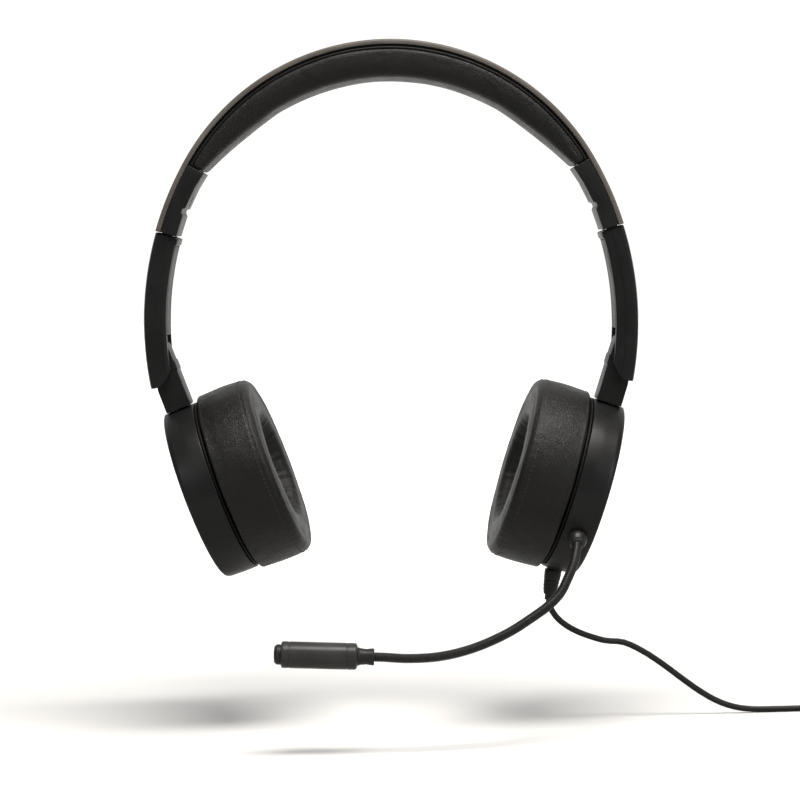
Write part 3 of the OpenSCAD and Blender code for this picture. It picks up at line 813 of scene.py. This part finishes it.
# ---------------------------------------------------------------- cups
def make_cup_shell(side):
    """The round housing: satin rim, flat top for the hanger, and a recess for the outer cap."""
    profile = fillet([(0.01, 5.1, 0), (0.01, 4.1, 0), (30.5, 4.1, 0.6), (30.5, -6.0, 0.15), (31.4, -6.0, 0.1),
                      (CUP_R - 0.05, -5.75, 0.35), (CUP_R + 0.05, -1, 30), (CUP_R - 0.1, 4.2, 2),
                      (CUP_R - 0.55, 6.05, 1.3), (28.9, 6.15, 0.5), (28.1, 5.95, 0.25), (28.1, 5.1, 0.1)], 6)
    shell = lathe("cup_housing_" + side, profile, MAT["cup"], 192, 30)
    cut(shell, above_flat(FLAT_Z, MAT["cup"]))
    if side == "left":
        gland = lathe("hole", [(0, 27), (2.6, 27), (2.6, 40), (0, 40)], MAT["cup"], 48)
        lean = math.radians(GLAND_LEAN)
        down = axis_matrix((GLAND_AT[0] + GLAND_AT[1] * math.tan(lean), 0, 0),
                           (math.sin(lean), 0, -math.cos(lean)), (0, 1, 0))
        cut(shell, place(gland, down))
    bevel(shell, 0.35, 3, 48)
    on_cup(shell, side, "cup_plastic", "cup_shell_")


def above_flat(z, mat):
    """What is cut off the top of a round piece for the hanger."""
    return extrude("flat", [(-12, z), (12, z), (12, 45), (-12, 45)], -24, 24, mat)


def on_cup(obj, side, slot, cad):
    """Puts a piece made about a cup's axis on its cup, in the place of the CAD node."""
    place(obj, cup_matrix(side))
    return show(obj, "cup_" + side, slot, cad + side)


def make_cup_cap(side):
    """The outer cap: shallow dish with a fine ring groove."""
    profile = fillet([(0.01, 5.15, 0), (27.95, 5.15, 0.1), (27.95, 5.9, 0.35), (27.2, 6.3, 0.4),
                      (20.6, 6.75, 3), (20.3, 6.45, 0.15), (19.7, 6.45, 0.15), (19.4, 6.85, 0.3),
                      (8, 6.95, 4), (0.01, 7.0, 0)], 4)
    on_cup(lathe("cup_outer_cap_" + side, profile, MAT["cup"], 160, 28), side, "cup_plastic", "cup_cap_")


def make_baffle(side):
    """The ring in the gap between shell and cushion."""
    profile = fillet([(18.2, -7.0, 0.2), (31.5, -7.0, 0.3), (31.95, -6.6, 0.2), (31.95, -6.25, 0.15),
                      (31.6, -6.05, 0.1), (30.3, -6.0, 0), (30.3, -4.7, 0.2), (20.2, -4.7, 0.2),
                      (20.2, -6.0, 0.1), (18.2, -6.0, 0.2)], 3)
    ring = lathe("baffle_ring_" + side, profile, MAT["gap_ring"], 160, 30, closed=True)
    cut(ring, above_flat(FLAT_Z - 0.1, MAT["frame"]))
    on_cup(ring, side, "frame_plastic", "baffle_")


def make_grille(side):
    """Acoustic cloth over the speaker, slightly domed."""
    profile = [(0.01, -7.9), (5, -7.88), (10, -7.8), (14, -7.68), (17, -7.5), (19, -7.25), (19.2, -7.1),
               (19.0, -7.02), (0.01, -7.02)]
    on_cup(lathe("ear_cloth_" + side, profile, MAT["cloth"], 96, 40), side, "grille_cloth", "ear_grille_")


def cushion_profile():
    """Round an ear cushion's covering, from its inner back edge by the side and seam to the front face."""
    pts = []

    def add_line(a, b, n, bow=0.0):
        (r0, x0), (r1, x1) = a, b
        nx, ny = (x1 - x0), -(r1 - r0)
        ln = math.hypot(nx, ny)
        for k in range(n):
            t = k / n
            off = bow * math.sin(math.pi * t)
            pts.append((r0 + (r1 - r0) * t + off * nx / ln, x0 + (x1 - x0) * t + off * ny / ln))

    b, f = CUSHION_BACK, CUSHION_FRONT
    add_line((21.0, b - 0.7), (30.2, b - 0.4), 8)
    add_line((30.2, b - 0.4), (32.6, b - 0.15), 4, -0.1)
    add_line((32.6, b - 0.15), (33.5, b - 1.5), 6, -0.45)
    add_line((33.5, b - 1.5), (33.45, SEAM_X + 0.2), 30, -0.35)
    pts.append((SEAM_R, SEAM_X - 0.1))
    add_line((33.25, SEAM_X - 0.45), (28.6, f + 0.35), 12, -1.15)
    add_line((28.6, f + 0.35), (24.0, f), 8, -0.25)
    add_line((24.0, f), (18.3, f + 2.8), 14, -1.35)
    add_line((18.3, f + 2.8), (16.9, f + 7.5), 10, -0.65)
    add_line((16.9, f + 7.5), (17.9, b - 2.5), 12, -0.35)
    add_line((17.9, b - 2.5), (21.0, b - 0.7), 6, -0.3)
    return pts


def make_ear_cushion(side):
    """A ring of foam in its covering, swollen between its back and its seam, puckered and creased."""
    pad = lathe("ear_pad_" + side, cushion_profile(), MAT["leather"], 216, 80, closed=True)
    swell(pad, [v.index for v in pad.data.vertices if held_covering(v.co)], 0.6, 3.0)
    normals = [v.normal.copy() for v in pad.data.vertices]
    for v, n in zip(pad.data.vertices, normals):
        a = math.atan2(v.co.y, v.co.z)
        r = math.hypot(v.co.y, v.co.z) / MM
        from_seam = math.hypot(r - SEAM_R, v.co.x / MM - SEAM_X)
        pucker = 0.11 * math.exp(-from_seam / 1.7) * math.sin(a * 72) * (0.6 + 0.4 * math.sin(a * 5 + 1))
        inner = 0.10 * math.exp(-((r - 18.0) / 2.2) ** 2) * (math.sin(a * 31) + 0.6 * math.sin(a * 47 + 2))
        slow = 0.16 * noise.noise(v.co * 95.0 + Vector((5, 2, 1))) + 0.05 * noise.noise(v.co * 320.0)
        v.co += n * (pucker + inner + slow) * MM
    tree = BVHTree.FromPolygons([v.co for v in pad.data.vertices],
                                [tuple(p.vertices) for p in pad.data.polygons])
    stitches = place(make_stitches(tree, "seam_thread_" + side), cup_matrix(side))
    on_cup(pad, side, "leatherette", "ear_cushion_")
    show(stitches, "cup_" + side, "leatherette")


def held_covering(co):
    """Where the covering is held: along its back edge and along the seam."""
    at_seam = abs(math.hypot(co.y, co.z) - SEAM_R * MM) < 0.25 * MM
    return co.x > (CUSHION_BACK - 1.2) * MM or at_seam and abs(co.x - (SEAM_X - 0.1) * MM) < 0.3 * MM


def make_stitches(tree, name):
    """Short slanted stitches beside the seam, laid on the covering's side."""
    verts, faces = [], []
    count, length, radius = 132, 1.05, 0.13
    for i in range(count):
        a0 = 2 * math.pi * i / count
        ring = []
        for k in range(5):
            t = k / 4 - 0.5
            a = a0 + t * length / 33.0
            x = SEAM_X + 1.05 + 0.28 * t
            out = Vector((0, math.sin(a), math.cos(a)))
            hit = tree.ray_cast(Vector((x * MM, 0, 0)) + out * 45 * MM, -out)[0]
            r = math.hypot(hit.y, hit.z) / MM if hit else 33.4
            lift = r + 0.10 * math.cos(math.pi * t) - 0.06
            thick = radius * (0.45 + 0.55 * math.cos(math.pi * t))
            ring.append((Vector((x, out.y * lift, out.z * lift)), out, thick))
        for p, out, rad in ring:
            side_v = Vector((1, 0, 0))
            for j in range(6):
                b = 2 * math.pi * j / 6
                verts.append(tuple(p + rad * (math.cos(b) * side_v + math.sin(b) * out)))
        first = len(verts) - 30
        for k in range(4):
            a, b = first + 6 * k, first + 6 * (k + 1)
            faces += [(a + j, a + (j + 1) % 6, b + (j + 1) % 6, b + j) for j in range(6)]
        faces += [tuple(first + j for j in range(5, -1, -1)), tuple(first + 24 + j for j in range(6))]
    return build(name, verts, faces, MAT["thread"], 60)


# ---------------------------------------------------------------- microphone boom
UPRIGHT = axis_matrix((0, 0, 0), (0, 0, 1), (0, 1, 0))
BOOM_ROUTE = [
    (65.5, -29.9, -166.5), (65.1, -33, -168.3), (64.6, -36.2, -170), (63.9, -39.8, -172),
    (62.9, -43.5, -174.4), (61.3, -47.2, -177.4), (58.2, -51.8, -182.6), (54, -55.7, -186.4),
    (49, -59, -189.6), (40.2, -63, -194.6), (31.2, -66, -198.4), (22.4, -68, -201), (13.5, -69.6, -202.4),
    (4, -70.6, -202.6), (-4, -71, -202), (-8.4, -71, -201.8),
]


def make_boom_collar():
    """The boom's domed root, with a fine ring where the gooseneck goes in."""
    profile = fillet([(0.01, 33.2, 0), (3.2, 33.2, 0.2), (3.5, 33.5, 0.2), (3.48, 35.0, 1.2),
                      (2.85, 36.5, 1.2), (2.25, 37.2, 0.3), (2.3, 37.45, 0.1), (2.0, 37.7, 0.15),
                      (0.01, 37.7, 0)], 5)
    collar = lathe("boom_root", profile, MAT["rubber"], 64, 40)
    place(collar, cup_matrix("left") @ Matrix.Rotation(math.radians(90 + COLLAR_DIP), 4, "X") @ UPRIGHT)
    show(collar, "boom", "boom_rubber", "boom_collar")


def make_gooseneck():
    """The flexible boom: a close-ribbed tube."""
    line = even_line(smooth_line(BOOM_ROUTE, 12), 0.13)
    pitch = 0.78

    def ribbed(s):
        return BOOM_R - 0.22 * (0.5 + 0.5 * math.cos(2 * math.pi * s / pitch)) ** 1.6

    neck = tube("gooseneck_ribs", line, ribbed, MAT["boom"], 28, 75)
    show(neck, "boom", "boom_rubber", "gooseneck")


def make_microphone():
    """Neck, satin barrel with two fine rings, and the end cap with its ring of sound holes."""
    neck = lathe("mic_ferrule", fillet([(1.8, 0, 0.1), (2.85, 0, 0.25), (3.0, 0.5, 0.2), (2.7, 2.7, 1.0),
                                        (3.0, 5.2, 1.0), (3.4, 5.8, 0.1), (0.01, 5.8, 0), (0.01, 1.6, 0),
                                        (1.8, 1.6, 0)], 5), MAT["mic_black"], 72, 35)
    r = MIC_R
    rings = []
    for x in (9.2, MIC_L - 5.4):
        rings += [(r, x, 0.05), (r - 0.14, x + 0.08, 0.05), (r - 0.14, x + 0.36, 0.05), (r, x + 0.44, 0.05)]
    profile = [(0.01, 5.85, 0), (r - 0.9, 5.85, 0.1), (r - 0.1, 6.3, 0.4), (r, 7.0, 0.5)] + rings
    profile += [(r, MIC_L - 3.2, 0.3), (r - 0.35, MIC_L - 2.6, 0.2), (3.15, MIC_L - 2.6, 0.1),
                (3.15, MIC_L - 5, 0), (0.01, MIC_L - 5, 0)]
    barrel = lathe("mic_housing", fillet(profile, 4), MAT["mic"], 96, 32)
    end = [(0.01, MIC_L - 4, 0), (3.1, MIC_L - 4, 0), (3.1, MIC_L - 2.6, 0), (3.5, MIC_L - 2.6, 0.1),
           (3.55, MIC_L - 1.1, 0.5), (2.9, MIC_L - 0.2, 0.6), (1.6, MIC_L, 1.0), (0.01, MIC_L, 0)]
    cap = lathe("mic_grille", fillet(end, 5), MAT["mic_black"], 72, 35)
    holes = []
    for k in range(7):
        a = 2 * math.pi * k / 6
        at = (0, 0) if k == 6 else (1.9 * math.cos(a), 1.9 * math.sin(a))
        hole = lathe("hole", [(0, MIC_L - 1.6), (0.32, MIC_L - 1.6), (0.32, MIC_L + 1), (0, MIC_L + 1)],
                     MAT["mic_black"], 20)
        holes.append(place(hole, Matrix.Translation((0, at[0] * MM, at[1] * MM))))
    cut(cap, *holes)
    finish_mesh(cap, 35)
    m = Matrix.Translation(Vector(MIC_AT) * MM) @ Matrix.Rotation(math.radians(-90 + MIC_RISE), 4, "Y")
    show_all(m @ UPRIGHT, "boom", (neck, "mic_black", "mic_neck"),
             (barrel, "mic_satin", "mic_barrel"), (cap, "mic_black", "mic_end_cap"))


# ---------------------------------------------------------------- cord
LEAD_ROUTE = [
    (56.8, 0, -187.4), (56.2, 0, -190.9), (57.2, 0, -194.5), (59.6, 0.4, -198), (63.3, 1, -201),
    (67.4, 2, -203.3), (71.8, 3, -205.1), (77.3, 4, -206.8), (84, 5.5, -207.7), (91, 7, -211.2),
    (98, 8.5, -216), (105, 10, -221.5), (112, 11.5, -226.8), (119, 12.8, -231.1), (126, 13.9, -233.7),
    (133, 14.8, -234.7), (141, 15.5, -234.85), (150, 16, -234.85), (162, 16, -234.7), (172, 16, -234.4),
    (180, 16, -234.15),
]
TAIL_ROUTE = [
    (201, 38, -231.7), (201.2, 44, -231.7), (201.6, 51, -231.9), (202, 58, -232), (202, 61, -232),
]


def coil_line():
    """The coil: its turns go in towards the middle, rise a little, and go out again on top."""
    out = []
    per_turn = 48
    steps = COIL_TURNS * per_turn
    for layer, (r0, r1) in enumerate(((COIL_R_OUT, COIL_R_IN), (COIL_R_IN, COIL_R_OUT))):
        extra = per_turn // 4 if layer else 0
        for k in range(steps + extra + 1):
            t = min(k / steps, 1.0)
            turn = -0.25 + layer * COIL_TURNS + k / per_turn
            a = 2 * math.pi * turn
            r = r0 + (r1 - r0) * t
            rise = 1.0 if layer else max(0.0, (k - steps + 16) / 16)
            z = COIL_LAYERS[0] + (COIL_LAYERS[1] - COIL_LAYERS[0]) * rise
            out.append(Vector((COIL_AT[0] + r * math.cos(a), COIL_AT[1] + r * math.sin(a), z)))
    return out


def make_cord():
    """One spline: from the strain relief down to the table, through the coil and to the plug."""
    lead = smooth_line(LEAD_ROUTE, 6)
    tail = smooth_line(TAIL_ROUTE, 6)
    line = even_line(lead + coil_line() + tail, 2.6)
    data = bpy.data.curves.new("cord", "CURVE")
    data.dimensions = "3D"
    data.bevel_depth, data.bevel_resolution = CORD_R * MM, 4
    data.use_fill_caps = True
    spline = data.splines.new("POLY")
    spline.points.add(len(line) - 1)
    for point, p in zip(spline.points, line):
        point.co = (p.x * MM, p.y * MM, p.z * MM, 1)
    spline.use_smooth = True
    data.materials.append(MAT["cord"])
    cord = bpy.data.objects.new("cord", data)
    bpy.context.collection.objects.link(cord)
    show(cord, "cup_left", "cord_rubber", "cord_lead", "cord_coil")
    length = sum((b - a).length for a, b in zip(line, line[1:])) * MM
    return cord, length


def make_strain_relief():
    """The moulded boot at the cup: a step, a taper with three fine flex grooves and a narrow sleeve."""
    profile = [(1.2, -2.0, 0), (2.55, -2.0, 0), (2.55, 1.35, 0), (3.15, 1.35, 0.2), (3.1, 3.0, 0.2)]
    for k in range(3):
        x, r = 5.0 + 1.5 * k, 2.95 - 0.13 * k
        profile += [(r, x, 0.1), (r - 0.14, x + 0.06, 0.05), (r - 0.15, x + 0.3, 0.05),
                    (r - 0.02, x + 0.36, 0.1)]
    profile += [(2.4, 9.6, 0.2), (2.2, 10.5, 0.3), (1.65, 10.8, 0.2), (1.5, 12.6, 0.2), (1.18, 12.6, 0.05)]
    boot = lathe("cord_boot", fillet(profile, 4), MAT["cord"], 64, 40, closed=True)
    m = cup_matrix("left") @ Matrix.Translation((GLAND_AT[0] * MM, 0, GLAND_AT[1] * MM))
    place(boot, m @ Matrix.Rotation(math.radians(180 - GLAND_LEAN), 4, "Y") @ UPRIGHT)
    show(boot, "cup_left", "cord_rubber", "strain_relief")
    return boot


def make_tie():
    """A strap round the coil's near side, its end lapped over and pressed down."""
    x0, y0, y1, z0, z1 = COIL_AT[0], 4.45, 20.75, -235.62, -230.42
    outline = [(y0, z0), (y1, z0), (y1, z1), (y0, z1)]
    soft = fillet([(a, b, 1.6) for a, b in outline], 6)
    inner = fillet([(y0 + 0.62, z0 + 0.5, 1.2), (y1 - 0.62, z0 + 0.5, 1.2), (y1 - 0.62, z1 - 0.5, 1.2),
                    (y0 + 0.62, z1 - 0.5, 1.2)], 6)
    sections = [[(x0 + x, COIL_AT[1] + a, b) for a, b in ring]
                for ring, x in ((soft, -2.4), (soft, 2.4), (inner, 2.4), (inner, -2.4))]
    strap = bevel(loft("bundle_strap", sections, MAT["strap"], 40, closed=True), 0.12, 2, 50)
    lap = fillet([(x0 - 2.4, z1 - 0.05, 0.1), (x0 + 2.4, z1 - 0.05, 0.1), (x0 + 2.4, z1 + 0.45, 0.2),
                  (x0 - 2.4, z1 + 0.45, 0.2)], 3)
    flap = extrude("flap", lap, COIL_AT[1] + 7.5, COIL_AT[1] + 17.5, MAT["strap"])
    strap = join("bundle_strap", [strap, flap])
    finish_mesh(strap, 40)
    show(strap, "cup_left", "tie_strap", "cord_tie")
    return strap


def make_plug():
    """A straight four-contact 3.5 mm plug: ribbed boot, body, and pin with its insulating rings."""
    profile = [(1.2, 0, 0), (1.7, 0, 0.15)]
    for k in range(4):
        x, r = 0.7 + 1.7 * k, 1.85 + 0.2 * k
        profile += [(r, x, 0.1), (r + 0.1, x + 1.0, 0.1), (r - 0.25, x + 1.1, 0.08), (r - 0.2, x + 1.6, 0.08)]
    profile += [(2.6, 7.6, 0.1), (2.6, 8.0, 0), (1.2, 8.0, 0)]
    boot = lathe("plug_flex_boot", fillet(profile, 3), MAT["cord"], 56, 40, closed=True)
    grip = [(0.01, 8, 0), (3.0, 8, 0.3), (3.9, 9.3, 0.8), (4.0, 10.5, 0.5), (4.0, 12.0, 0.05),
            (3.85, 12.1, 0.05), (3.85, 12.5, 0.05), (4.0, 12.6, 0.05), (4.0, 24.7, 0.4), (3.4, 26, 0.4),
            (0.01, 26, 0)]
    body = lathe("plug_shell", fillet(grip, 5), MAT["plug"], 96, 30)
    pin_r = 1.75
    contact = [(0.01, 26, 0), (2.4, 26, 0.1), (2.4, 26.8, 0.15), (pin_r, 26.8, 0.05), (pin_r, 37.4, 0.2),
               (1.15, 38.3, 0.2), (1.5, 39.2, 0.3), (1.45, 39.8, 0.3), (0.6, 40.75, 0.3), (0.01, 40.8, 0)]
    pin = lathe("plug_contacts", fillet(contact, 5), MAT["gold"], 72, 30)
    bands = []
    for x in (29.6, 32.7, 35.8):
        bands.append(lathe("band", [(pin_r - 0.2, x), (pin_r + 0.012, x), (pin_r + 0.012, x + 0.75),
                                    (pin_r - 0.2, x + 0.75)], MAT["mic_black"], 72, 30, closed=True))
    pin = join("plug_contacts", [pin, *bands])
    finish_mesh(pin, 30)
    show_all(axis_matrix(PLUG_AT, (0, 1, 0)), "cup_left", (boot, "cord_rubber", "plug_boot"),
             (body, "plug_plastic", "plug_body"), (pin, "contact_gold", "plug_pin"))
    return [boot, body, pin]


# ---------------------------------------------------------------- the parts inside, as the CAD has them
def paint_inside():
    paint(MAT["steel"], "spring_band", "slider_tongue_left", "slider_tongue_right")
    paint(MAT["screw"], "detent_springs", "cup_screws_left", "cup_screws_right", "swivel_clip_left",
          "swivel_clip_right", "swivel_post_left", "swivel_post_right", "fold_pin_left", "fold_pin_right",
          "boom_plug", "mic_capsule")
    for side in SIDES:
        paint(MAT["frame"], "speaker_frame_" + side, "cushion_ring_" + side)
        paint(MAT["screw"], "speaker_magnet_" + side)
        paint(MAT["film"], "speaker_diaphragm_" + side)
    paint(MAT["board"], "circuit_board")
    paint(MAT["frame"], "mic_socket")
    paint(MAT["cord"], "headband_lead")


MAT = {
    # The cover is lighter and warmer than the other plastics: partly its own tone, partly a painted highlight
    # for its warmly lit top.
    "cover": moulded("cover_plastic", (0.046, 0.0415, 0.037), 0.36, wear=0.3),
    "frame": moulded("frame_plastic", (0.0036, 0.0036, 0.0037), 0.42, wear=0.25),
    "arm": moulded("arm_plastic", (0.0036, 0.0036, 0.0037), 0.42, wear=0.3),
    "arm_cover": moulded("arm_cover_plastic", (0.0036, 0.0036, 0.0037), 0.46, wear=0.2),
    "cup": moulded("cup_plastic", (0.0040, 0.0040, 0.0041), 0.38, wear=0.3),
    # The gap ring is black plastic made darker than the others: painted shade for the gap between shell and
    # cushion.
    "gap_ring": moulded("gap_ring_plastic", (0.002, 0.002, 0.002), 0.55, wear=0.1),
    "leather": leatherette("leatherette", (0.0025, 0.0024, 0.0023)),
    "thread": rubber("thread", (0.020, 0.019, 0.018), 0.6),
    "rubber": rubber("collar_rubber", (0.007, 0.007, 0.007), 0.42),
    "boom": rubber("boom_rubber", (0.005, 0.005, 0.005), 0.36),
    "cord": rubber("cord_rubber", (0.0035, 0.0035, 0.0035), 0.42),
    "mic": moulded("mic_satin", (0.017, 0.0165, 0.016), 0.34, wear=0.3),
    "mic_black": moulded("mic_black", (0.009, 0.009, 0.009), 0.4, wear=0.2),
    "steel": metal("steel", (0.50, 0.49, 0.48), 0.32, 0.15),
    "screw": metal("screw_steel", (0.10, 0.098, 0.095), 0.35),
    "gold": metal("contact_gold", (0.83, 0.62, 0.28), 0.22),
    "film": moulded("diaphragm_film", (0.09, 0.09, 0.10), 0.25),
    "board": moulded("board_green", (0.01, 0.05, 0.02), 0.35),
    "cloth": cloth("grille_cloth", (0.005, 0.005, 0.005)),
    "strap": cloth("tie_strap", (0.018, 0.018, 0.018), 0.0009),
    "plug": moulded("plug_plastic", (0.009, 0.009, 0.009), 0.4),
}

add_camera()
add_studio()
add_floor()

cord, cord_length = make_cord()
gland = make_strain_relief()
strap = make_tie()
plug = make_plug()

make_band_cover()
make_band_frame()
make_head_pad()
make_housing_screws()
for side in SIDES:
    make_slider_housing(side)
    make_arm(side)
    make_arm_cover(side)
    make_stem(side)
    make_cup_shell(side)
    make_cup_cap(side)
    make_baffle(side)
    make_grille(side)
    make_ear_cushion(side)
make_boom_collar()
make_gooseneck()
make_microphone()
paint_inside()
